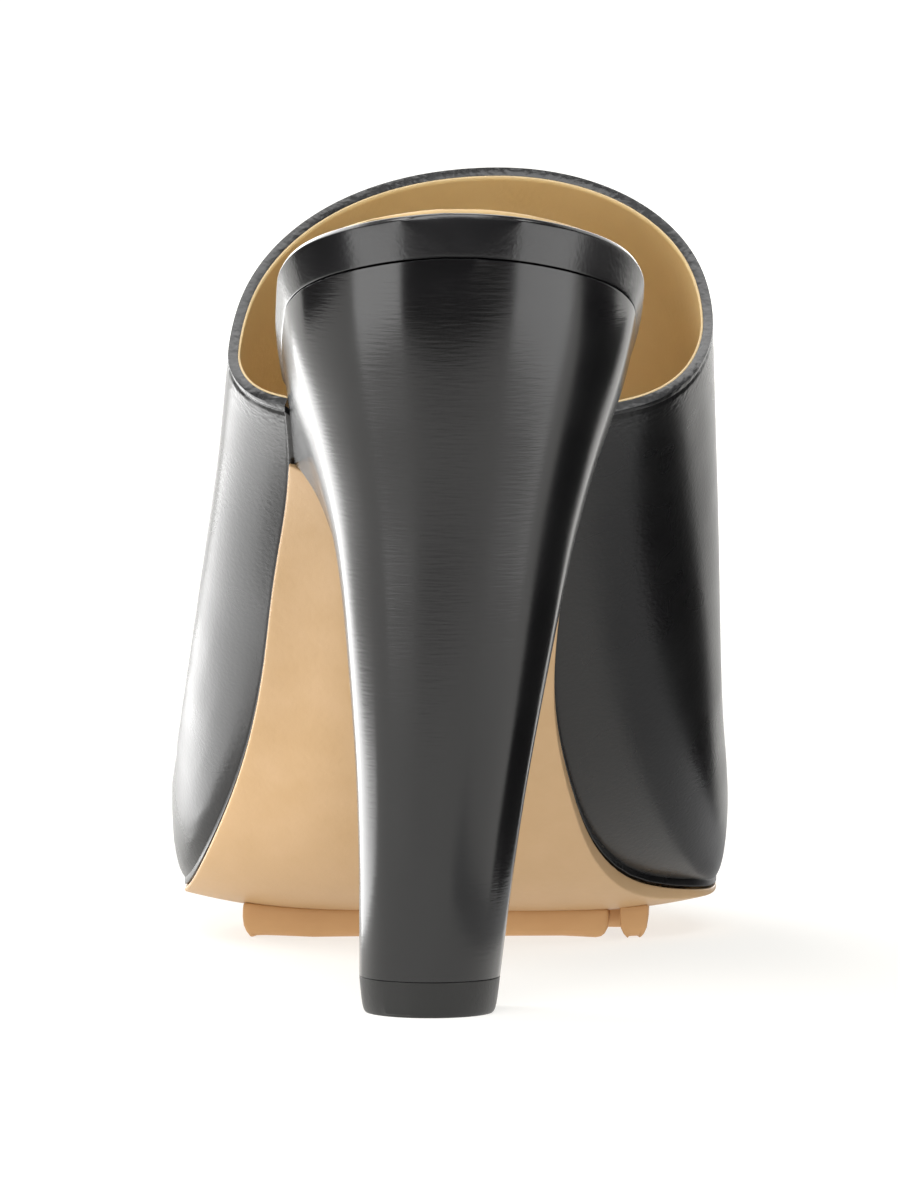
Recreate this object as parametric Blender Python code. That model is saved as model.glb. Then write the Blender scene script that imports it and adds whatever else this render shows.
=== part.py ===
"""High-heeled open-back mule, left shoe.

Frame: metres, +Z up, +Y towards the toe, +X towards the medial side (the big toe).
The shoe stands on its top lift and its forefoot pads. Every layer of the bottom follows one
last: a side profile, a plan outline and a crown across it, all given as shares of the sizes below.
"""

import math

import bmesh
import bpy
from mathutils import Vector

# Driving sizes of the last
LAST_LENGTH = 0.208        # seat rear to toe tip, measured level along the floor
SEAT_HEIGHT = 0.1180       # top of the insole at the seat's rear, above the floor
SEAT_WIDTH = 0.0536        # insole across the seat
BALL_WIDTH = 0.0788        # outsole across the ball
TOE_SPRING = 0.0085        # rise of the insole's top at the toe tip
TOE_SWING = 0.0030         # shift of the toe tip towards the medial side
CROSS_SLANT = 0.12         # how far the last's cross lines run forward for each step to the medial side
BALL_CROWN = 0.0004        # rise of the forefoot's edges over its middle
SEAT_CUP = 0.0012          # rise of the seat's edges over its middle

# Upper
UPPER_SPREAD = 0.0838      # upper across the ball, outside
INSTEP_HEIGHT = 0.0570     # throat above the sole's edge, in the topline's plane
TOE_HEIGHT = 0.0245        # toe box at its rear, outside
NOSE_HEIGHT = 0.0070       # where the toe's tip stands out furthest
TOE_OVERHANG = 0.0020      # upper past the sole at the tip
UPPER_WALL = 0.0018
TOPLINE_START = 0.0570     # where the topline meets the sole, from the seat's rear
TOPLINE_TILT = 53.0        # lean of the topline's plane towards the toe, degrees from upright

# Layers of the bottom
SOCK_THICKNESS = 0.0010
SOCK_INSET = 0.0022        # bare rim of the insole round the sock
INSOLE_THICKNESS = 0.0032
LIP_HEIGHT = 0.0064        # the insole's wrapped rim at the seat's rear
LIP_SLOPE = 0.0016         # how far the rim draws in towards the heel
RIM_ROUND = 0.0010         # rounding of the insole's top edge
RIM_STEP = 0.0040          # length over which the insole steps in to let the upper pass
INSOLE_ROOM = 0.0008       # clearance between the insole's side and the upper's wall
RAND_THICKNESS = 0.0007
SOLE_THICKNESS = 0.0032    # outsole along its middle
SOLE_EDGE = 0.0008         # outsole at its edge
PAD_THICKNESS = 0.0034     # how far the pads stand down from the outsole's middle
PAD_GROUND = 0.0012        # how much of a pad is ground off flat
PAD_BEVEL = 0.0012

# Heel
HEEL_BREAST = 0.0660       # breast from the seat's rear, at the top
TIP_WIDTH = 0.0205
TIP_REAR = 0.0170          # tip's back edge from the seat's rear
TIP_DEPTH = 0.0215
TIP_LEAN = -0.0030         # shift of the tip towards the lateral side
TIP_ROUND = 0.55           # share of the tip's depth taken by its round back
LIFT_HEIGHT = 0.0050
LIFT_DRAW = 0.0005         # how far the top lift draws in towards the floor
LIFT_BEVEL = 0.0005
BREAST_HOLLOW = 0.0016

GAP = 0.0003               # clearance between pieces that touch

# Mesh density
COLUMNS = 9                # across a layer
ROW_LENGTH = 0.0075        # longest row of a layer
END_ROWS = 7               # in each rounded end
WALL_STEPS = 6             # in each quarter of an upper section
UPPER_ROWS = 15            # from the topline to the toe box
TOE_ROWS = 9               # round the toe
HEEL_COLUMNS = 9
PAD_ROWS = 5
PAD_COLUMNS = 7

# The insole's top from the side, as shares of the span and of the seat's height over the tread
PROFILE = {
    "along": (0.0, 0.072, 0.144, 0.216, 0.279, 0.337, 0.409, 0.481, 0.538, 0.596, 0.644, 0.683, 0.721, 1.0),
    "rise": (1.0, 0.942, 0.874, 0.789, 0.697, 0.595, 0.446, 0.290, 0.174, 0.081, 0.027, 0.006, 0.0, 0.0),
}
SPRING_START = 0.76        # share of the span where the toe spring begins

# The bottom's plan: half widths as shares of the seat's width, then of the ball's
SEAT_PLAN = {
    "along": (0.0, 0.15, 0.19, 0.27, 0.33, 0.375, 0.40, 0.464, 0.50),
    "lateral": (0.490, 0.495, 0.500, 0.474, 0.459, 0.479, 0.500, 0.526, 0.552),
    "medial": (0.500, 0.498, 0.490, 0.424, 0.348, 0.308, 0.290, 0.273, 0.286),
}
BALL_PLAN = {
    "along": (0.533, 0.591, 0.630, 0.663, 0.715, 0.770, 0.840, 1.0),
    "lateral": (0.398, 0.447, 0.477, 0.496, 0.514, 0.512, 0.498, 0.450),
    "medial": (0.218, 0.262, 0.312, 0.369, 0.497, 0.503, 0.492, 0.450),
}
SEAT_ROUND = 0.135         # share of the span taken by the seat's round back
TOE_ROUND = 0.230          # share of the span taken by the round toe
TOE_FULLNESS = 2.25        # exponent of the toe's curve, 2 is an ellipse
SWING_START = 0.60         # share of the span where the toe starts to swing

# Upper sections from the topline to the toe box, as shares of the run between them. tilt: share
# of the topline's, height: from toe box to instep, lateral and medial: widest half widths as
# shares of the spread, low and high: how far up these sit on each side, peak: shift of the ridge
# as a share of the spread, full: fullness of the top, 0.55 is an ellipse
SECTIONS = {
    "along": (0.0, 0.16, 0.33, 0.48, 0.62, 0.74, 0.80, 0.86, 0.93, 1.0),
    "tilt": (1.0, 0.86, 0.66, 0.42, 0.18, 0.03, 0.0, 0.0, 0.0, 0.0),
    "height": (1.0, 1.0, 0.99, 0.98, 0.93, 0.72, 0.52, 0.325, 0.135, 0.0),
    "lateral": (0.405, 0.421, 0.450, 0.475, 0.493, 0.505, 0.508, 0.507, 0.501, 0.492),
    "medial": (0.447, 0.457, 0.469, 0.477, 0.485, 0.493, 0.493, 0.492, 0.489, 0.482),
    "low": (0.26, 0.27, 0.29, 0.31, 0.33, 0.34, 0.35, 0.36, 0.37, 0.38),
    "high": (0.40, 0.40, 0.39, 0.38, 0.37, 0.36, 0.36, 0.37, 0.375, 0.38),
    "peak": (0.066, 0.070, 0.070, 0.065, 0.055, 0.045, 0.040, 0.035, 0.028, 0.020),
    "full": (0.58, 0.56, 0.54, 0.52, 0.52, 0.54, 0.56, 0.58, 0.60, 0.62),
}
TOE_BOX = 0.830            # share of the span where the round toe of the upper begins
BELLY_PULL = 0.10          # how sharply the wall turns up from the sole's edge
SHOULDER_PULL = 0.57       # how far the wall stays upright under the ridge
TOE_DROP = 1.45            # exponent of the fall of the toe's ridge, 1 is straight and 2 an ellipse

# Heel rings from the seat to the tip: share of the fall, then how far each size has gone from
# its value at the seat to its value at the tip
HEEL_RINGS = {
    "fall": (0.0, 0.05, 0.11, 0.17, 0.25, 0.335, 0.43, 0.60, 0.77, 1.0),
    "width": (0.0, 0.05, 0.15, 0.27, 0.41, 0.54, 0.635, 0.78, 0.91, 1.0),
    "back": (0.0, 0.07, 0.16, 0.26, 0.39, 0.51, 0.62, 0.77, 0.89, 1.0),
    "breast": (0.0, 0.14, 0.29, 0.42, 0.55, 0.65, 0.74, 0.85, 0.93, 1.0),
    "lean": (0.0, 0.0, 0.0, 0.01, 0.03, 0.06, 0.13, 0.37, 0.63, 1.0),
}

# Tread pads: rear and front as shares of the span, sides as shares of the ball's half width
PADS = {
    "pad_lateral": (0.688, 0.752, -0.80, 0.00),
    "pad_medial": (0.688, 0.752, 0.04, 0.60),
    "pad_medial_small": (0.688, 0.752, 0.64, 0.75),
    "pad_middle_lateral": (0.765, 0.820, -0.76, 0.00),
    "pad_middle_medial": (0.765, 0.820, 0.04, 0.74),
    "pad_front": (0.832, 0.872, -0.56, 0.60),
}

# Finishes: colour, roughness, metallic
FINISHES = {
    "black_leather": ((0.012, 0.012, 0.013), 0.32, 0.0),
    "black_heel_cover": ((0.014, 0.014, 0.015), 0.28, 0.0),
    "tan_sock": ((0.47, 0.30, 0.13), 0.55, 0.0),
    "tan_sole": ((0.70, 0.50, 0.29), 0.50, 0.0),
    "brown_rubber": ((0.42, 0.18, 0.07), 0.60, 0.0),
    "black_rubber": ((0.020, 0.020, 0.020), 0.55, 0.0),
}


def mix(a, b, t):
    """Straight blend from a to b."""
    return a + (b - a) * t


def ease(t):
    """Smooth step from 0 to 1."""
    t = min(max(t, 0.0), 1.0)
    return t * t * (3 - 2 * t)


def curve_through(xs, ys, x):
    """Smooth curve through a table's points that never overshoots between them."""
    if x <= xs[0]:
        return ys[0]
    if x >= xs[-1]:
        return ys[-1]
    steps = [(ys[k + 1] - ys[k]) / (xs[k + 1] - xs[k]) for k in range(len(xs) - 1)]
    slopes = [steps[0]]
    for before, after in zip(steps, steps[1:]):
        turning = before * after <= 0
        slopes.append(0.0 if turning else 2 * before * after / (before + after))
    slopes.append(steps[-1])
    k = max(place for place in range(len(xs) - 1) if xs[place] <= x)
    width = xs[k + 1] - xs[k]
    t = (x - xs[k]) / width
    start = ys[k] * (1 + 2 * t) * (1 - t) ** 2 + slopes[k] * width * t * (1 - t) ** 2
    end = ys[k + 1] * t * t * (3 - 2 * t) + slopes[k + 1] * width * t * t * (t - 1)
    return start + end


def lookup(table, name, share):
    """A table's named column at a share of its run."""
    first = next(iter(table))
    return curve_through(table[first], table[name], share)


def profile_height(y):
    """The insole's top along its middle, from the side."""
    share = y / LAST_LENGTH
    tread = PAD_THICKNESS + SOLE_THICKNESS + GAP + INSOLE_THICKNESS
    spring = max(share - SPRING_START, 0.0) / (1.0 - SPRING_START)
    return mix(tread, SEAT_HEIGHT, lookup(PROFILE, "rise", share)) + TOE_SPRING * spring ** 2


def profile_normal(y):
    """Unit vector square to the insole's top, as (y, z)."""
    step = LAST_LENGTH / 100
    fall = (profile_height(y + step) - profile_height(y - step)) / (2 * step)
    length = math.hypot(1.0, fall)
    return -fall / length, 1.0 / length


def centre_line(y):
    """Middle of the bottom in plan, swung to the medial side at the toe."""
    return TOE_SWING * max((y / LAST_LENGTH - SWING_START) / (1.0 - SWING_START), 0.0) ** 2


def half_width(side, y):
    """Half width of the bottom's plan on one side, before its ends are rounded."""
    along = SEAT_PLAN["along"] + BALL_PLAN["along"]
    sizes = [share * SEAT_WIDTH for share in SEAT_PLAN[side]]
    sizes += [share * BALL_WIDTH for share in BALL_PLAN[side]]
    return curve_through(along, sizes, y / LAST_LENGTH)


def toe_share(share):
    """How far into the round toe a share of the span lies, from 0 to 1 at its tip."""
    return min(max((share - 1 + TOE_ROUND) / TOE_ROUND, 0.0), 1.0)


def toe_rounding(share):
    """How much of its full width the plan keeps near the toe's tip."""
    return (1 - toe_share(share) ** TOE_FULLNESS) ** (1 / TOE_FULLNESS)


def seat_rounding(share):
    """How much of its full width the plan keeps near the seat's back."""
    past = max(1 - max(share, 0.0) / SEAT_ROUND, 0.0)
    return math.sqrt(1 - past ** 2)


def outline(y, inset):
    """The plan's lateral and medial x at y, drawn in by an inset."""
    share = (y - inset) / (LAST_LENGTH - 2 * inset)
    rounding = seat_rounding(share) * toe_rounding(share)
    lateral = (half_width("lateral", y) - inset) * rounding
    medial = (half_width("medial", y) - inset) * rounding
    return centre_line(y) - lateral, centre_line(y) + medial


def across(x, y):
    """How far out a place lies on the bottom's plan, 0 along its middle and 1 at its edge."""
    aside = abs(x - centre_line(y)) * 2 / (half_width("lateral", y) + half_width("medial", y))
    ahead = toe_share(y / LAST_LENGTH)
    return (aside ** TOE_FULLNESS + ahead ** TOE_FULLNESS) ** (1 / TOE_FULLNESS)


def layer_point(x, y, depth):
    """A point at a depth below the insole's top, square to the profile."""
    out, up = profile_normal(y)
    size = mix(SEAT_CUP, BALL_CROWN, ease(2 * y / LAST_LENGTH - 0.5))
    crown = size * min(across(x, y), 1.2) ** 4
    return Vector((x, y - out * depth + CROSS_SLANT * x, profile_height(y) + crown - up * depth))


def grid_point(y, inset, column, columns, depth):
    """A column of a layer at station y: its outline drawn in by the inset, at a depth(x, y)."""
    shrunk = mix(inset, LAST_LENGTH - inset, y / LAST_LENGTH)
    left, right = outline(shrunk, inset)
    x = mix(left, right, column / (columns - 1))
    return layer_point(x, shrunk, depth(x, y))


def insole_depth(x, y):
    """Thickness of the insole: a deep lip at the seat, thin from the topline on."""
    return mix(LIP_HEIGHT, INSOLE_THICKNESS, ease(y / TOPLINE_START))


def insole_inset(y):
    """How far the insole's side steps in to lie inside the upper."""
    return (UPPER_WALL + INSOLE_ROOM) * ease((y - TOPLINE_START + RIM_STEP) / RIM_STEP)


def lip_draw(y):
    """How far the insole's side draws in at its lower edge."""
    return LIP_SLOPE * insole_depth(0.0, y) / LIP_HEIGHT


def upper_depth(x, y):
    """Depth of the upper's lower edge, on the rand."""
    return insole_depth(x, y) - RAND_THICKNESS - GAP


def sole_top(x, y):
    """Depth of the outsole's upper face, under the insole."""
    return insole_depth(x, y) + GAP


def sole_bottom(x, y):
    """Depth of the outsole's underside, rounded up at its edges."""
    return sole_top(x, y) + mix(SOLE_THICKNESS, SOLE_EDGE, min(across(x, y), 1.0) ** 6)


def even_rows(marks):
    """Rows along y through the marks, none longer than the row length."""
    rows = [marks[0]]
    for start, end in zip(marks, marks[1:]):
        count = math.ceil((end - start) / ROW_LENGTH)
        rows += [mix(start, end, (k + 1) / count) for k in range(count)]
    return rows


def seat_rows():
    """Rows of the seat's round back, drawn together towards the rear."""
    turns = [math.pi / 2 * (k + 0.5) / END_ROWS for k in range(END_ROWS)]
    return [SEAT_ROUND * LAST_LENGTH * (1 - math.cos(turn)) for turn in turns]


def toe_rows():
    """Rows of the round toe, drawn together towards the tip."""
    turns = [math.pi / 2 * (k + 0.5) / END_ROWS for k in range(END_ROWS)]
    return [LAST_LENGTH * (1 - TOE_ROUND * (1 - math.sin(turn))) for turn in turns]


def stack(name, finish, rows, columns, levels):
    """Closed solid from levels of one grid: the first and last are faces, the rest are rims."""
    mesh = bmesh.new()
    border = [(r, 0) for r in range(rows)] + [(rows - 1, c) for c in range(1, columns)]
    border += [(r, columns - 1) for r in range(rows - 2, -1, -1)]
    border += [(0, c) for c in range(columns - 2, 0, -1)]
    rims = []
    for place, level in enumerate(levels):
        is_face = place in (0, len(levels) - 1)
        cells = [(r, c) for r in range(rows) for c in range(columns)] if is_face else border
        points = {cell: mesh.verts.new(level(*cell)) for cell in cells}
        rims.append([points[cell] for cell in border])
        for r in range(rows - 1 if is_face else 0):
            for c in range(columns - 1):
                corners = ((r, c), (r, c + 1), (r + 1, c + 1), (r + 1, c))
                mesh.faces.new([points[corner] for corner in corners])
    for above, below in zip(rims, rims[1:]):
        for k in range(len(border)):
            after = (k + 1) % len(border)
            mesh.faces.new((above[k], above[after], below[after], below[k]))
    return finish_piece(name, finish, mesh)


def finish_piece(name, finish, mesh):
    """Turn the faces out, shade them and put the piece in the scene with its own material."""
    bmesh.ops.recalc_face_normals(mesh, faces=mesh.faces[:])
    data = bpy.data.meshes.new(name)
    mesh.to_mesh(data)
    mesh.free()
    data.shade_smooth()
    data.set_sharp_from_angle(angle=math.radians(35))
    piece = bpy.data.objects.new(name, data)
    bpy.context.scene.collection.objects.link(piece)
    colour, roughness, metallic = FINISHES[finish]
    material = bpy.data.materials.new(name + "_" + finish)
    material.use_nodes = True
    shader = material.node_tree.nodes["Principled BSDF"]
    shader.inputs["Base Color"].default_value = (*colour, 1.0)
    shader.inputs["Roughness"].default_value = roughness
    shader.inputs["Metallic"].default_value = metallic
    data.materials.append(material)
    return piece


def layer(name, finish, stations, levels):
    """A layer of the bottom: its levels are pairs of an inset(y) and a depth(x, y)."""
    def at(inset, depth):
        return lambda r, c: grid_point(stations[r], inset(stations[r]), c, COLUMNS, depth)
    return stack(name, finish, len(stations), COLUMNS, [at(*level) for level in levels])


def make_insole():
    """Board with a rounded rim: a deep lip round the seat, inside the upper from there on."""
    marks = (SEAT_ROUND * LAST_LENGTH, TOPLINE_START - RIM_STEP, TOPLINE_START, (1 - TOE_ROUND) * LAST_LENGTH)
    stations = seat_rows() + even_rows(marks) + toe_rows()
    return layer("insole", "black_leather", stations, (
        (lambda y: insole_inset(y) + RIM_ROUND, lambda x, y: 0.0),
        (lambda y: insole_inset(y) + RIM_ROUND * 0.3, lambda x, y: RIM_ROUND * 0.3),
        (lambda y: insole_inset(y), lambda x, y: RIM_ROUND),
        (lambda y: insole_inset(y) + lip_draw(y), insole_depth),
    ))


def make_sock():
    """Thin cover on the insole, a bare rim's width inside it."""
    stations = seat_rows() + even_rows((SEAT_ROUND * LAST_LENGTH, (1 - TOE_ROUND) * LAST_LENGTH)) + toe_rows()
    side = lambda y: insole_inset(y) + SOCK_INSET
    return layer("sock", "tan_sock", stations, (
        (lambda y: side(y) + SOCK_THICKNESS / 2, lambda x, y: -GAP - SOCK_THICKNESS),
        (side, lambda x, y: -GAP - SOCK_THICKNESS / 2),
        (side, lambda x, y: -GAP),
    ))


def make_outsole():
    """Leather sole from the heel's breast to the toe, rounded up at its edges."""
    stations = even_rows((HEEL_BREAST + GAP, (1 - TOE_ROUND) * LAST_LENGTH)) + toe_rows()
    return layer("outsole", "tan_sole", stations, (
        (lambda y: 0.0, sole_top),
        (lambda y: 0.0, sole_bottom),
    ))


def make_rand():
    """Thin strip under the upper's edge, from one end of the topline round the toe to the other."""
    stations = even_rows((TOPLINE_START, (1 - TOE_ROUND) * LAST_LENGTH)) + toe_rows()
    path = [(y, 0) for y in stations] + [(y, 1) for y in reversed(stations)]
    top = lambda x, y: insole_depth(x, y) - RAND_THICKNESS
    corners = ((0.0, top), (0.0, insole_depth), (UPPER_WALL, insole_depth), (UPPER_WALL, top))
    mesh = bmesh.new()
    rings = []
    for y, side in path:
        rings.append([mesh.verts.new(grid_point(y, inset, side, 2, depth)) for inset, depth in corners])
    for ring, after in zip(rings, rings[1:]):
        for k in range(len(corners)):
            other = (k + 1) % len(corners)
            mesh.faces.new((ring[k], ring[other], after[other], after[k]))
    mesh.faces.new(rings[0])
    mesh.faces.new(rings[-1])
    return finish_piece("rand", "black_leather", mesh)


def bezier(a, b, c, d, t):
    """Point on a cubic curve."""
    s = 1 - t
    return a * s ** 3 + b * 3 * s * s * t + c * 3 * s * t * t + d * t ** 3


def upper_section(share, turn):
    """Points of a section from the lateral edge over the ridge to the medial edge.

    share runs from the topline to the toe box, turn from there round the toe, both 0 to 1.
    """
    toe_start = TOE_BOX * LAST_LENGTH
    y = mix(TOPLINE_START, toe_start, share)
    reach = math.sin(turn * math.pi / 2)
    base_y = mix(y, LAST_LENGTH, reach)
    belly_y = mix(y, LAST_LENGTH + TOE_OVERHANG, reach)
    tilt = math.radians(TOPLINE_TILT) * lookup(SECTIONS, "tilt", share)
    up = Vector((0.0, math.sin(tilt), math.cos(tilt)))
    box = mix(TOE_HEIGHT, INSTEP_HEIGHT, lookup(SECTIONS, "height", share))
    fade = (1 - reach ** TOE_DROP) ** (1 / TOE_DROP)
    height = mix(NOSE_HEIGHT, box, fade)
    rounding = toe_rounding(belly_y / (LAST_LENGTH + TOE_OVERHANG))
    middle = centre_line(belly_y)
    floor = layer_point(middle, base_y, upper_depth(middle, base_y))
    floor.y += belly_y - base_y
    ridge = floor + up * height
    ridge.x = middle + UPPER_SPREAD * lookup(SECTIONS, "peak", share) * rounding
    ridge.y += CROSS_SLANT * (ridge.x - middle)
    halves = []
    for side, way, seat, edge in (("lateral", -1, "low", 0), ("medial", 1, "high", 1)):
        base_x = outline(base_y, 0.0)[edge]
        base = layer_point(base_x, base_y, upper_depth(base_x, base_y))
        rise = mix(lookup(SECTIONS, seat, share) * box, NOSE_HEIGHT, reach)
        belly = floor + up * rise
        belly.x = middle + way * UPPER_SPREAD * lookup(SECTIONS, side, share) * rounding
        belly.y += CROSS_SLANT * (belly.x - middle)
        low_pull = base.lerp(belly, BELLY_PULL)
        low_pull.x = mix(base.x, belly.x, 1 - 3 * BELLY_PULL)
        high_pull = base.lerp(belly, 1 - 5 * BELLY_PULL)
        high_pull.x = belly.x
        shoulder = belly + up * (height - rise) * SHOULDER_PULL
        crest = ridge.lerp(belly, lookup(SECTIONS, "full", share))
        crest.z = ridge.z
        crest.y = ridge.y + CROSS_SLANT * (crest.x - ridge.x)
        wall = [bezier(base, low_pull, high_pull, belly, k / WALL_STEPS) for k in range(WALL_STEPS)]
        wall += [bezier(belly, shoulder, crest, ridge, k / WALL_STEPS) for k in range(WALL_STEPS)]
        halves.append(wall)
    lateral, medial = halves
    return lateral + [ridge] + medial[::-1]


def make_upper():
    """Hollow vamp: one wall, open at the topline and underneath."""
    sections = [upper_section(k / UPPER_ROWS, 0.0) for k in range(UPPER_ROWS + 1)]
    sections += [upper_section(1.0, (k + 1) / TOE_ROWS) for k in range(TOE_ROWS)]
    mesh = bmesh.new()
    rows = [[mesh.verts.new(point) for point in section] for section in sections]
    for row, after in zip(rows, rows[1:]):
        for k in range(len(row) - 1):
            mesh.faces.new((row[k], after[k], after[k + 1], row[k + 1]))
    bmesh.ops.remove_doubles(mesh, verts=mesh.verts[:], dist=GAP / 10)
    upper = finish_piece("upper", "black_leather", mesh)
    wall = upper.modifiers.new("wall", "SOLIDIFY")
    wall.thickness = UPPER_WALL
    wall.offset = -1.0
    wall.use_even_offset = True
    return upper


def slanted(point, way):
    """The point moved onto the last's slanted cross line, or back off it with way at -1."""
    return point + Vector((0.0, way * CROSS_SLANT * point.x, 0.0))


def heel_under(y):
    """Height of the face that the heel lies against, along its middle."""
    return profile_height(y) - (insole_depth(0.0, y) + GAP) / profile_normal(y)[1]


def make_heel():
    """Tall tapered block, round at the back, with a hollowed breast."""
    stations = seat_rows() + even_rows((SEAT_ROUND * LAST_LENGTH, HEEL_BREAST))

    def seat_point(y, c):
        point = grid_point(y, lip_draw(y), c, HEEL_COLUMNS, sole_top)
        return slanted(point, -1)

    rear = seat_point(stations[0], 0).y
    front = seat_point(HEEL_BREAST, 0).y

    def ring(k):
        fall, width, back, breast, lean = [HEEL_RINGS[name][k] for name in HEEL_RINGS]

        def level(r, c):
            top = seat_point(stations[r], c)
            tip = tip_point(stations[r] / HEEL_BREAST, c / (HEEL_COLUMNS - 1))
            x = mix(top.x, tip.x - TIP_LEAN, width) + TIP_LEAN * lean
            share = mix((top.y - rear) / (front - rear), stations[r] / HEEL_BREAST, breast)
            y = mix(mix(rear, TIP_REAR, back), mix(front, TIP_REAR + TIP_DEPTH, breast), share)
            height = top.z + heel_under(y) - heel_under(top.y)
            hollow = tip.y - TIP_REAR - TIP_DEPTH * stations[r] / HEEL_BREAST
            return slanted(Vector((x, y + hollow * breast, mix(height, LIFT_HEIGHT + GAP, fall))), 1)
        return level

    levels = [ring(k) for k in range(len(HEEL_RINGS["fall"]))]
    return stack("heel", "black_heel_cover", len(stations), HEEL_COLUMNS, levels)


def tip_point(share, side):
    """Plan of the heel's tip: share runs from its back to its breast, side from left to right."""
    past = max(1 - share / TIP_ROUND, 0.0)
    half = TIP_WIDTH / 2 * math.sqrt(max(1 - past ** 2, 0.0)) * (1 - 0.06 * ease(share / TIP_ROUND - 1))
    bow = 1 - (2 * side - 1) ** 2
    y = TIP_REAR + TIP_DEPTH * share - BREAST_HOLLOW * bow * share ** 6
    return Vector((TIP_LEAN + mix(-half, half, side), y, 0.0))


def make_top_lift():
    """Rubber tip under the heel, drawn in a little towards the floor."""
    stations = seat_rows() + even_rows((SEAT_ROUND * LAST_LENGTH, HEEL_BREAST))
    middle = Vector((TIP_LEAN, TIP_REAR + TIP_DEPTH / 2, 0.0))

    def at(height, draw):
        def level(r, c):
            point = tip_point(stations[r] / HEEL_BREAST, c / (HEEL_COLUMNS - 1))
            drawn = middle + (point - middle) * (1 - 2 * draw / TIP_WIDTH)
            return slanted(Vector((drawn.x, drawn.y, height)), 1)
        return level

    levels = (at(LIFT_HEIGHT, 0.0), at(LIFT_BEVEL, LIFT_DRAW), at(0.0, LIFT_DRAW + LIFT_BEVEL))
    return stack("top_lift", "black_rubber", len(stations), HEEL_COLUMNS, levels)


def make_pad(name, rear, front, left, right):
    """Rubber plate under the forefoot, ground flat where it meets the floor."""
    def point(r, c, inset):
        y = mix(rear * LAST_LENGTH + inset, front * LAST_LENGTH - inset, r / (PAD_ROWS - 1))
        near, far = left * BALL_WIDTH / 2 + inset, right * BALL_WIDTH / 2 - inset
        x = centre_line(y) + mix(near, far, c / (PAD_COLUMNS - 1))
        return layer_point(x, y, sole_bottom(x, y) + GAP)

    def under(r, c, inset, lift):
        place = point(r, c, inset)
        place.z = max(place.z - PAD_THICKNESS + GAP - PAD_GROUND, 0.0) + lift
        return place

    levels = (
        lambda r, c: point(r, c, 0.0),
        lambda r, c: under(r, c, 0.0, PAD_BEVEL),
        lambda r, c: under(r, c, PAD_BEVEL, 0.0),
    )
    return stack(name, "brown_rubber", PAD_ROWS, PAD_COLUMNS, levels)


def stand(pieces):
    """Hang the pieces on one empty, with the floor's middle under the shoe at the origin."""
    shoe = bpy.data.objects.new("shoe", None)
    bpy.context.scene.collection.objects.link(shoe)
    for piece in pieces:
        piece.parent = shoe
    bpy.context.view_layer.update()
    graph = bpy.context.evaluated_depsgraph_get()
    corners = [Vector(corner) for piece in pieces for corner in piece.evaluated_get(graph).bound_box]
    for axis in (0, 1):
        reach = [corner[axis] for corner in corners]
        shoe.location[axis] = -(min(reach) + max(reach)) / 2


def main():
    """Clear the scene, make every piece and stand the shoe on the floor."""
    for old in list(bpy.data.objects):
        bpy.data.objects.remove(old, do_unlink=True)
    pieces = [make_upper(), make_insole(), make_sock(), make_rand(), make_outsole()]
    pieces += [make_heel(), make_top_lift()]
    pieces += [make_pad(name, *place) for name, place in PADS.items()]
    stand(pieces)


main()
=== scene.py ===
import math

import bmesh
import bpy
from mathutils import Matrix, Vector


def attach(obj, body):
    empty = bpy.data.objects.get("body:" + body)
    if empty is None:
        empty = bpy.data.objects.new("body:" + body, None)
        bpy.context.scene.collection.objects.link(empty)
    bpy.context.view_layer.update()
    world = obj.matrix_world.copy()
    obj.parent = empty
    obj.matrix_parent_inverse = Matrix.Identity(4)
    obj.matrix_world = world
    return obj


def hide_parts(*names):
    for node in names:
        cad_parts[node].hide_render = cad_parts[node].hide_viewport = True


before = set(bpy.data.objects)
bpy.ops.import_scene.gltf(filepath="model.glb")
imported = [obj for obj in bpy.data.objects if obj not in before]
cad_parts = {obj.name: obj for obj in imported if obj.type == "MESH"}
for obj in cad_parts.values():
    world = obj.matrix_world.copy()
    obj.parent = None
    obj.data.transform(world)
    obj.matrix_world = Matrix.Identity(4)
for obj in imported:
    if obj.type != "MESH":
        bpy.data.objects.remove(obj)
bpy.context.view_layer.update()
shortestEdge = 0.00001
joining = {"flat": 30, "square": 60}
topFacing = 0.3


def quadMesh(name):
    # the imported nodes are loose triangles, joined here into quads
    mesh = bmesh.new()
    mesh.from_mesh(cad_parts[name].data)
    bmesh.ops.remove_doubles(mesh, verts=mesh.verts[:], dist=shortestEdge)
    bmesh.ops.join_triangles(
        mesh,
        faces=mesh.faces[:],
        angle_face_threshold=math.radians(joining["flat"]),
        angle_shape_threshold=math.radians(joining["square"]),
    )
    mesh.normal_update()
    return mesh


def sharpEdges(mesh, angle):
    limit = math.radians(angle)
    return [edge for edge in mesh.edges if edge.is_manifold and edge.calc_face_angle(0.0) > limit]


def putPiece(name, mesh, material, slot, *nodes):
    data = bpy.data.meshes.new(name)
    mesh.to_mesh(data)
    mesh.free()
    data.shade_smooth()
    data.materials.append(material)
    piece = bpy.data.objects.new(name, data)
    bpy.context.scene.collection.objects.link(piece)
    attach(piece, "root")
    if nodes:
        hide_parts(*nodes)
    return piece


def subdivide(piece, level):
    smooth = piece.modifiers.new("smooth", "SUBSURF")
    smooth.levels = level
    smooth.render_levels = level
    smooth.boundary_smooth = "PRESERVE_CORNERS"


def thicken(piece, thickness):
    wall = piece.modifiers.new("wall", "SOLIDIFY")
    wall.thickness = thickness
    wall.offset = -1.0


def roundEdges(piece, width, angle):
    rounding = piece.modifiers.new("rounding", "BEVEL")
    rounding.width = width
    rounding.segments = 3
    rounding.limit_method = "ANGLE"
    rounding.angle_limit = math.radians(angle)


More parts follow.
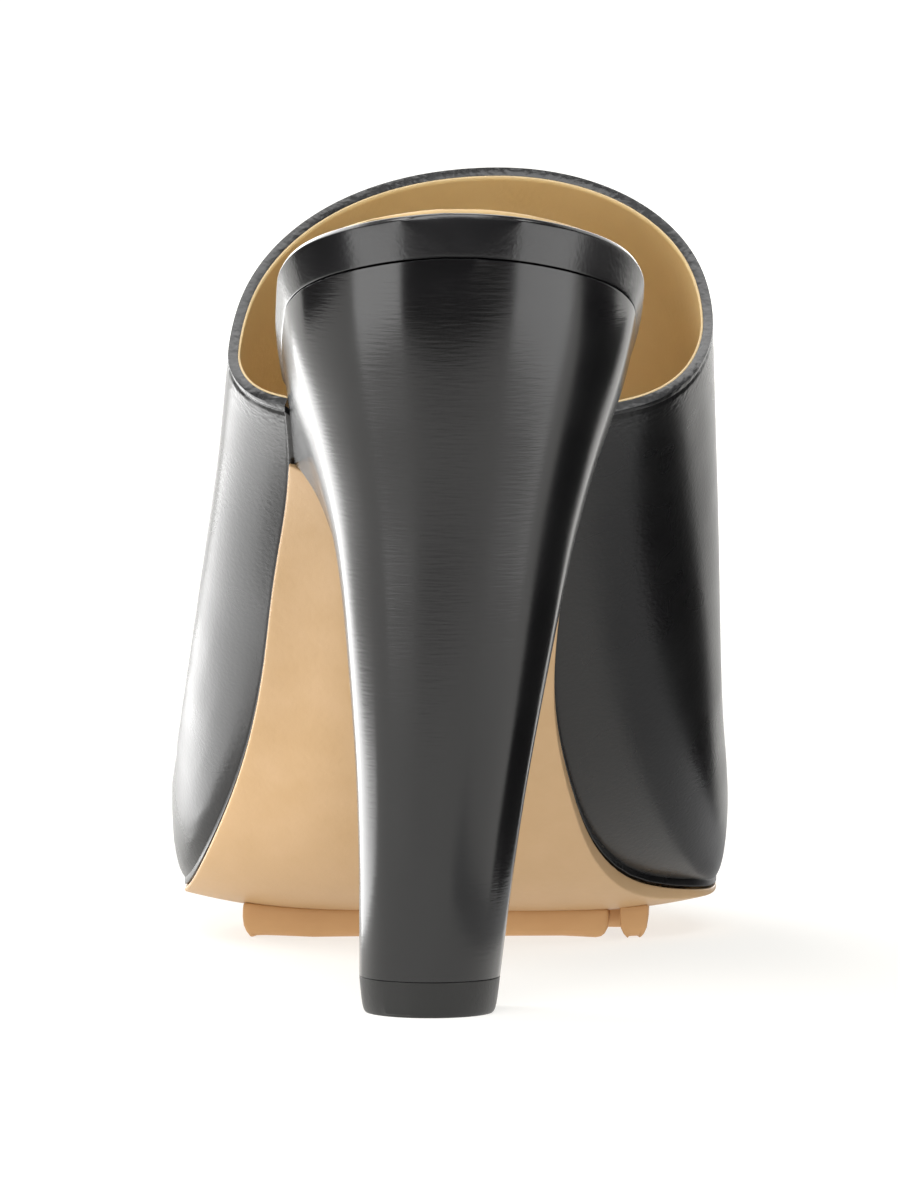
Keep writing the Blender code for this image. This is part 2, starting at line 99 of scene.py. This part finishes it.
def fill(node, values):
    for name, value in values.items():
        node.inputs[name].default_value = value


def makeGrainGroup():
    # fine unevenness of leather or rubber, with its own stretch along each axis
    group = bpy.data.node_groups.new("grain", "ShaderNodeTree")
    sockets = group.interface
    sockets.new_socket("Stretch", in_out="INPUT", socket_type="NodeSocketVector")
    sockets.new_socket("Fine", in_out="INPUT", socket_type="NodeSocketFloat")
    sockets.new_socket("Broad", in_out="INPUT", socket_type="NodeSocketFloat")
    sockets.new_socket("Height", in_out="OUTPUT", socket_type="NodeSocketFloat")
    sockets.new_socket("Cloud", in_out="OUTPUT", socket_type="NodeSocketFloat")
    nodes, links = group.nodes, group.links
    entry = nodes.new("NodeGroupInput")
    out = nodes.new("NodeGroupOutput")
    place = nodes.new("ShaderNodeTexCoord")
    stretched = nodes.new("ShaderNodeVectorMath")
    stretched.operation = "MULTIPLY"
    links.new(place.outputs["Object"], stretched.inputs[0])
    links.new(entry.outputs["Stretch"], stretched.inputs[1])
    fine = nodes.new("ShaderNodeTexNoise")
    fine.inputs["Detail"].default_value = 3.0
    broad = nodes.new("ShaderNodeTexNoise")
    broad.inputs["Detail"].default_value = 2.0
    for noise, size in ((fine, "Fine"), (broad, "Broad")):
        links.new(stretched.outputs[0], noise.inputs["Vector"])
        links.new(entry.outputs[size], noise.inputs["Scale"])
    links.new(fine.outputs["Fac"], out.inputs["Height"])
    links.new(broad.outputs["Fac"], out.inputs["Cloud"])
    return group


grainGroup = makeGrainGroup()


def makeMaterial(name, look):
    material = bpy.data.materials.new(name)
    material.use_nodes = True
    nodes, links = material.node_tree.nodes, material.node_tree.links
    shader = nodes["Principled BSDF"]
    grain = nodes.new("ShaderNodeGroup")
    grain.node_tree = grainGroup
    fill(grain, {"Stretch": look["stretch"], "Fine": look["fine"], "Broad": look["broad"]})
    colours = nodes.new("ShaderNodeMix")
    colours.data_type = "RGBA"
    fill(colours, {"A": (*look["dark"], 1.0), "B": (*look["light"], 1.0)})
    links.new(grain.outputs["Cloud"], colours.inputs["Factor"])
    links.new(colours.outputs["Result"], shader.inputs["Base Color"])
    gloss = nodes.new("ShaderNodeMapRange")
    smoothest, roughest = look["roughness"]
    fill(gloss, {"From Min": 0.3, "From Max": 0.7, "To Min": smoothest, "To Max": roughest})
    links.new(grain.outputs["Cloud"], gloss.inputs["Value"])
    links.new(gloss.outputs["Result"], shader.inputs["Roughness"])
    bump = nodes.new("ShaderNodeBump")
    fill(bump, {"Strength": look["bump"], "Distance": look["depth"]})
    links.new(grain.outputs["Height"], bump.inputs["Height"])
    links.new(bump.outputs["Normal"], shader.inputs["Normal"])
    fill(shader, {"Specular IOR Level": look["specular"]})
    return material


leatherLook = {
    "dark": (0.004, 0.004, 0.0045),
    "light": (0.009, 0.009, 0.0095),
    "roughness": (0.24, 0.34),
    "specular": 0.44,
    "stretch": (1.0, 1.0, 1.0),
    "fine": 1500.0,
    "broad": 60.0,
    "bump": 0.16,
    "depth": 0.0002,
}
heelLook = dict(
    leatherLook,
    dark=(0.003, 0.003, 0.0034),
    light=(0.006, 0.006, 0.0064),
    roughness=(0.15, 0.22),
    specular=0.62,
    stretch=(0.12, 0.12, 1.2),
    fine=2200.0,
    bump=0.07,
)
rimLook = dict(leatherLook, roughness=(0.18, 0.26), specular=0.56, bump=0.12)
tipLook = dict(leatherLook, dark=(0.010, 0.010, 0.010), light=(0.016, 0.016, 0.015), roughness=(0.36, 0.46))
# one tan leather in three shades: here the lining's tan, painted lighter as painted light inside the collar's
# shade
liningPaintedLightLook = {
    "dark": (0.74, 0.54, 0.25),
    "light": (0.84, 0.64, 0.33),
    "roughness": (0.50, 0.60),
    "specular": 0.4,
    "stretch": (1.0, 1.0, 1.0),
    "fine": 1200.0,
    "broad": 90.0,
    "bump": 0.3,
    "depth": 0.0002,
}
# the same tan painted darker on the sock, as painted shade where the sock catches the light from above
sockPaintedShadeLook = dict(liningPaintedLightLook, dark=(0.54, 0.37, 0.17), light=(0.64, 0.45, 0.22))
# the same tan painted darker on the lining's cut edge, as painted shade where that edge catches the light
edgePaintedShadeLook = dict(liningPaintedLightLook, dark=(0.58, 0.43, 0.22), light=(0.66, 0.50, 0.28))
soleLook = dict(
    liningPaintedLightLook,
    dark=(0.51, 0.326, 0.155),
    light=(0.59, 0.396, 0.222),
    roughness=(0.42, 0.52),
    stretch=(1.0, 0.5, 1.0),
    fine=900.0,
    broad=160.0,
)
padLook = dict(soleLook, dark=(0.56, 0.31, 0.13), light=(0.64, 0.385, 0.18), roughness=(0.55, 0.65))
materials = {
    "black_leather": makeMaterial("blackLeather", leatherLook),
    "rim": makeMaterial("rimLeather", rimLook),
    "black_heel_cover": makeMaterial("heelCover", heelLook),
    # lining, sock and the lining's edge are one tan, painted lighter on the lining and darker on the sock and
    # the edge
    "tan_sock": makeMaterial("liningLeatherPaintedLight", liningPaintedLightLook),
    "sock": makeMaterial("sockLeatherPaintedShade", sockPaintedShadeLook),
    "tan_sole": makeMaterial("soleLeather", soleLook),
    "brown_rubber": makeMaterial("padRubber", padLook),
    "black_rubber": makeMaterial("tipRubber", tipLook),
    "edge": makeMaterial("liningEdgePaintedShade", edgePaintedShadeLook),
}
print("materials made", len(materials))

# each CAD node drawn again with rounded edges and smooth faces
roundedPieces = {
    "insole": {"slot": "black_leather", "material": "rim", "edge": 0.0008, "angle": 40, "level": 2},
    "sock": {"slot": "tan_sock", "material": "sock", "edge": 0.0002, "angle": 50, "level": 1},
    "rand": {"slot": "black_leather", "edge": 0.0001, "angle": 50, "level": 1, "rise": 0.0004},
    "outsole": {"slot": "tan_sole", "edge": 0.0004, "angle": 40, "level": 2},
    "heel": {"slot": "black_heel_cover", "edge": 0.0009, "angle": 40, "level": 2},
    "top_lift": {"slot": "black_rubber", "edge": 0.0003, "angle": 40, "level": 2, "rise": 0.0002},
}
padShape = {"slot": "brown_rubber", "edge": 0.0007, "angle": 50, "level": 1, "rise": 0.0009}
for place in ("lateral", "medial", "medial_small", "middle_lateral", "middle_medial", "front"):
    roundedPieces["pad_" + place] = padShape
for name, shape in roundedPieces.items():
    mesh = quadMesh(name)
    # a rise takes the top up, past the gap, so that no dark line is left above the piece
    for vert in mesh.verts:
        if vert.normal.z > topFacing:
            vert.co.z += shape.get("rise", 0.0)
    bmesh.ops.bevel(
        mesh,
        geom=sharpEdges(mesh, shape["angle"]),
        offset=shape["edge"],
        segments=2,
        profile=0.5,
        affect="EDGES",
        material=-1,
        clamp_overlap=True,
    )
    material = materials[shape.get("material", shape["slot"])]
    shownName = "shown" + name.title().replace("_", "")
    subdivide(putPiece(shownName, mesh, material, shape["slot"], name), shape["level"])
print("rounded pieces made", len(roundedPieces))

upperShape = {"level": 3, "wall": 0.00145, "edge": 0.00068, "angle": 50, "corner": 42}
# the topline lies in a plane; across points from it down the vamp, edge is where it lies along that direction
topline = {"across": Vector((-0.068, 0.586, -0.807)), "edge": -0.0981}
groove = {"below": 0.0013, "reach": 0.0007, "depth": 0.00022, "cuts": (-1.0, -0.6, -0.3, 0.0, 0.3, 0.6, 1.0)}
puckers = {"from": 0.0016, "to": 0.008, "share": 0.6, "fine": 900.0, "bump": 0.7, "depth": 0.0003}


def outerSheet():
    # the wall's faces fall into an outer face, an inner face and the narrow edge between them
    mesh = quadMesh("upper")
    sharp = set(sharpEdges(mesh, upperShape["corner"]))
    unseen = set(mesh.faces)
    regions = []
    while unseen:
        region = {unseen.pop()}
        front = list(region)
        while front:
            face = front.pop()
            for edge in face.edges:
                if edge in sharp:
                    continue
                for other in edge.link_faces:
                    if other in unseen:
                        unseen.discard(other)
                        region.add(other)
                        front.append(other)
        regions.append(region)
    regions.sort(key=lambda region: -sum(face.calc_area() for face in region))
    print("upper regions", [len(region) for region in regions][:6])
    rest = [face for face in mesh.faces if face not in regions[0]]
    bmesh.ops.delete(mesh, geom=rest, context="FACES")
    return mesh


def foldedSheet(level):
    # the outer face, fine enough for a groove pressed in under the turned topline
    draft = bpy.data.objects.new("draft", bpy.data.meshes.new("draft"))
    sheet = outerSheet()
    sheet.to_mesh(draft.data)
    sheet.free()
    bpy.context.scene.collection.objects.link(draft)
    subdivide(draft, level)
    smoothed = draft.evaluated_get(bpy.context.evaluated_depsgraph_get())
    mesh = bmesh.new()
    mesh.from_mesh(smoothed.to_mesh())
    smoothed.to_mesh_clear()
    bpy.data.objects.remove(draft)
    across = topline["across"].normalized()
    for share in groove["cuts"]:
        bmesh.ops.bisect_plane(
            mesh,
            geom=mesh.verts[:] + mesh.edges[:] + mesh.faces[:],
            dist=shortestEdge,
            plane_co=across * (topline["edge"] + groove["below"] + share * groove["reach"]),
            plane_no=across,
        )
    mesh.normal_update()
    for vert in mesh.verts:
        aside = abs(vert.co.dot(across) - topline["edge"] - groove["below"]) / groove["reach"]
        if aside < 1.0:
            vert.co -= vert.normal * groove["depth"] * (1 + math.cos(math.pi * aside)) / 2
    return mesh


def addPuckers(material):
    # fine wrinkles that fade away below the groove
    nodes, links = material.node_tree.nodes, material.node_tree.links
    place = nodes.new("ShaderNodeTexCoord")
    along = nodes.new("ShaderNodeVectorMath")
    along.operation = "DOT_PRODUCT"
    along.inputs[1].default_value = topline["across"]
    fade = nodes.new("ShaderNodeMapRange")
    fade.interpolation_type = "SMOOTHSTEP"
    start, end = topline["edge"] + puckers["from"], topline["edge"] + puckers["to"]
    fill(fade, {"From Min": start, "From Max": end, "To Min": puckers["share"], "To Max": 0.0})
    wrinkles = nodes.new("ShaderNodeTexNoise")
    fill(wrinkles, {"Scale": puckers["fine"], "Detail": 1.0})
    height = nodes.new("ShaderNodeMath")
    height.operation = "MULTIPLY"
    bump = nodes.new("ShaderNodeBump")
    fill(bump, {"Strength": puckers["bump"], "Distance": puckers["depth"]})
    shader = nodes["Principled BSDF"]
    links.new(place.outputs["Object"], along.inputs[0])
    links.new(along.outputs["Value"], fade.inputs["Value"])
    links.new(place.outputs["Object"], wrinkles.inputs["Vector"])
    links.new(wrinkles.outputs["Fac"], height.inputs[0])
    links.new(fade.outputs["Result"], height.inputs[1])
    links.new(height.outputs["Value"], bump.inputs["Height"])
    links.new(shader.inputs["Normal"].links[0].from_socket, bump.inputs["Normal"])
    links.new(bump.outputs["Normal"], shader.inputs["Normal"])


foldedLeather = makeMaterial("foldedLeather", leatherLook)
addPuckers(foldedLeather)
upper = putPiece("vamp", foldedSheet(upperShape["level"]), foldedLeather, "black_leather", "upper")
thicken(upper, upperShape["wall"])
roundEdges(upper, upperShape["edge"], upperShape["angle"])
print("vamp made")

liningShape = {"level": 3, "inward": 0.00149, "wall": 0.0003}
lining = putPiece("lining", outerSheet(), materials["tan_sock"], "tan_sock")
lining.data.materials.append(materials["edge"])
subdivide(lining, liningShape["level"])
inward = lining.modifiers.new("inward", "DISPLACE")
inward.strength = -liningShape["inward"]
inward.mid_level = 0.0
thicken(lining, liningShape["wall"])
# the wall's rim takes the edge's tan, painted darker as painted shade
lining.modifiers["wall"].material_offset_rim = 1
print("lining made")


def stagePiece(name, mesh, colour, glow):
    data = bpy.data.meshes.new(name)
    mesh.to_mesh(data)
    mesh.free()
    piece = bpy.data.objects.new(name, data)
    bpy.context.scene.collection.objects.link(piece)
    material = bpy.data.materials.new(name)
    material.use_nodes = True
    shader = material.node_tree.nodes["Principled BSDF"]
    fill(shader, {"Base Color": (*colour, 1.0), "Roughness": 1.0, "Specular IOR Level": 0.0})
    fill(shader, {"Emission Color": (*colour, 1.0), "Emission Strength": glow})
    data.materials.append(material)
    return piece


def slab(name, low, high, colour, glow):
    low, high = Vector(low), Vector(high)
    mesh = bmesh.new()
    bmesh.ops.create_cube(mesh, size=1.0)
    bmesh.ops.scale(mesh, verts=mesh.verts[:], vec=high - low)
    bmesh.ops.translate(mesh, verts=mesh.verts[:], vec=(low + high) / 2)
    return stagePiece(name, mesh, colour, glow)


white = (1.0, 1.0, 1.0)
grey = (0.3, 0.3, 0.3)
black = (0.02, 0.02, 0.02)
floorColour = (0.35, 0.346, 0.335)
floorGlow = {"near": 0.4, "far": 1.4, "dim": 2.05, "bright": 3.1}
strip = {"radius": 0.155, "middle": -0.1, "height": 0.074, "half": 0.056}
toeTip = {"start": 0.1, "share": 0.04}


def arc(name, start, end, glow):
    # a bright strip that stands behind the heel; start and end are degrees from straight behind it
    mesh = bmesh.new()
    bmesh.ops.create_grid(mesh, x_segments=12, y_segments=1, size=1.0)
    for vert in mesh.verts:
        turn = math.radians(start + (end - start) * (vert.co.x + 1) / 2)
        aside, away = strip["radius"] * math.sin(turn), strip["radius"] * math.cos(turn)
        vert.co = Vector((aside, strip["middle"] - away, strip["height"] + strip["half"] * vert.co.y))
    return stagePiece(name, mesh, white, glow)


studioFloor = slab("studioFloor", (-8.0, -8.0, -0.01), (8.0, 8.0, 0.0), floorColour, floorGlow["dim"])
# brighter with distance, so that its far end is as white as the surround
tree = studioFloor.data.materials[0].node_tree
nodes, links = tree.nodes, tree.links
place = nodes.new("ShaderNodeTexCoord")
reach = nodes.new("ShaderNodeVectorMath")
reach.operation = "LENGTH"
glowRise = nodes.new("ShaderNodeMapRange")
fill(glowRise, {"From Min": floorGlow["near"], "From Max": floorGlow["far"]})
fill(glowRise, {"To Min": floorGlow["dim"], "To Max": floorGlow["bright"]})
links.new(place.outputs["Object"], reach.inputs[0])
links.new(reach.outputs["Value"], glowRise.inputs["Value"])
links.new(glowRise.outputs["Result"], nodes["Principled BSDF"].inputs["Emission Strength"])

# the white background, seen by the camera alone
dome = bmesh.new()
bmesh.ops.create_uvsphere(dome, u_segments=48, v_segments=24, radius=6.6)
surround = stagePiece("surround", dome, white, 1.0)
surround.visible_diffuse = False
surround.visible_glossy = False
surround.visible_shadow = False

# seen by reflections alone: the room, the pair's other shoe, a bright ceiling and two bright strips
reflected = [
    slab("screen", (-3.0, 2.0, -0.1), (3.0, 2.01, 3.0), white, 1.0),
    slab("tableFront", (-0.7, -1.0, 0.001), (0.7, -0.255, 0.002), black, 0.0),
    slab("tableRight", (0.075, -0.04, 0.001), (0.6, 0.11, 0.002), black, 0.0),
    slab("tableFar", (0.25, -0.04, 0.003), (1.6, 0.3, 0.004), black, 0.0),
    slab("shadedFloor", (0.044, -0.15, 0.0005), (0.075, 0.2, 0.001), grey, 0.9),
    slab("otherShoe", (0.085, -0.06, 0.0), (0.087, 0.018, 0.085), black, 0.0),
    slab("otherToe", (0.085, 0.018, 0.0), (0.087, 0.12, 0.056), black, 0.0),
    slab("tableLeft", (-0.362, -0.35, 0.0), (-0.36, 0.2, 0.15), black, 0.0),
    slab("overhead", (-0.5, 0.0, 1.5), (0.5, 0.9, 1.51), white, 2.6),
    arc("leftStrip", -74, -32, 2.6),
    arc("rightStrip", 52, 93, 1.35),
]
for piece in reflected:
    piece.visible_camera = False
    piece.visible_diffuse = False
    piece.visible_shadow = False
    if piece.name == "otherToe":
        # it slopes down to its tip
        for vert in piece.data.vertices:
            if vert.co.y > toeTip["start"]:
                vert.co.z *= toeTip["share"]
world = bpy.data.worlds.new("roomLight")
bpy.context.scene.world = world
world.use_nodes = True
fill(world.node_tree.nodes["Background"], {"Color": (*white, 1.0), "Strength": 0.1})


def softLight(name, place, facing, along, size, strength):
    # strength is the panel's brightness, so its power follows from its area
    light = bpy.data.lights.new(name, "AREA")
    light.shape = "RECTANGLE"
    light.size, light.size_y = size
    light.energy = strength * math.pi * size[0] * size[1]
    panel = bpy.data.objects.new(name, light)
    back = -Vector(facing).normalized()
    side = Vector(along).cross(back).normalized()
    panel.matrix_world = Matrix((side, back.cross(side), back)).transposed().to_4x4()
    panel.location = place
    panel.visible_camera = False
    bpy.context.scene.collection.objects.link(panel)
    return panel


up = (0.0, 0.0, 1.0)
# place, facing, direction of the second size, sizes and strength
lights = {
    "above": ((0.0, -1.1, 1.6), (0.0, 1.1, -1.55), up, (1.8, 1.2), 5.0),
    "rightBack": ((0.45, 1.8, 0.4), (-0.45, -1.8, -0.34), up, (0.35, 1.0), 4.0),
    "leftPanel": ((-1.1, 0.7, 0.75), (1.1, -0.7, -0.7), up, (2.0, 1.2), 4.0),
    "leftBack": ((-0.6, 1.6, 0.5), (0.6, -1.6, -0.44), up, (0.6, 1.2), 4.0),
    "leftFloor": ((-0.18, 0.213, 0.004), up, (-0.28, 0.96, 0.0), (0.13, 0.53), 3.6),
    "intoThroat": ((0.0, -1.2, 0.4), (0.0, 1.2, -0.3), up, (1.0, 0.6), 3.0),
}
panels = {name: softLight(name, *setting) for name, setting in lights.items()}
# reaches the lining without a shine on the black leather
panels["intoThroat"].visible_glossy = False
print("lights made", len(lights))

# the photo's direction, with a longer lens to fill the picture with one shoe
view = {"distance": 3.0, "down": 4.4, "roll": 0.8, "height": 0.172, "target": (-0.0005, -0.1053, 0.0620)}
down = math.radians(view["down"])
direction = Vector((0.0, math.cos(down), -math.sin(down)))
camera = bpy.data.objects.new("camera", bpy.data.cameras.new("camera"))
bpy.context.scene.collection.objects.link(camera)
aimed = direction.to_track_quat("-Z", "Y").to_matrix().to_4x4()
rolled = Matrix.Rotation(math.radians(view["roll"]), 4, "Z")
stand = Matrix.Translation(Vector(view["target"]) - direction * view["distance"])
camera.matrix_world = stand @ aimed @ rolled
camera.data.lens = camera.data.sensor_width * view["distance"] / view["height"]
bpy.context.scene.camera = camera
bpy.context.scene.view_settings.view_transform = "Standard"
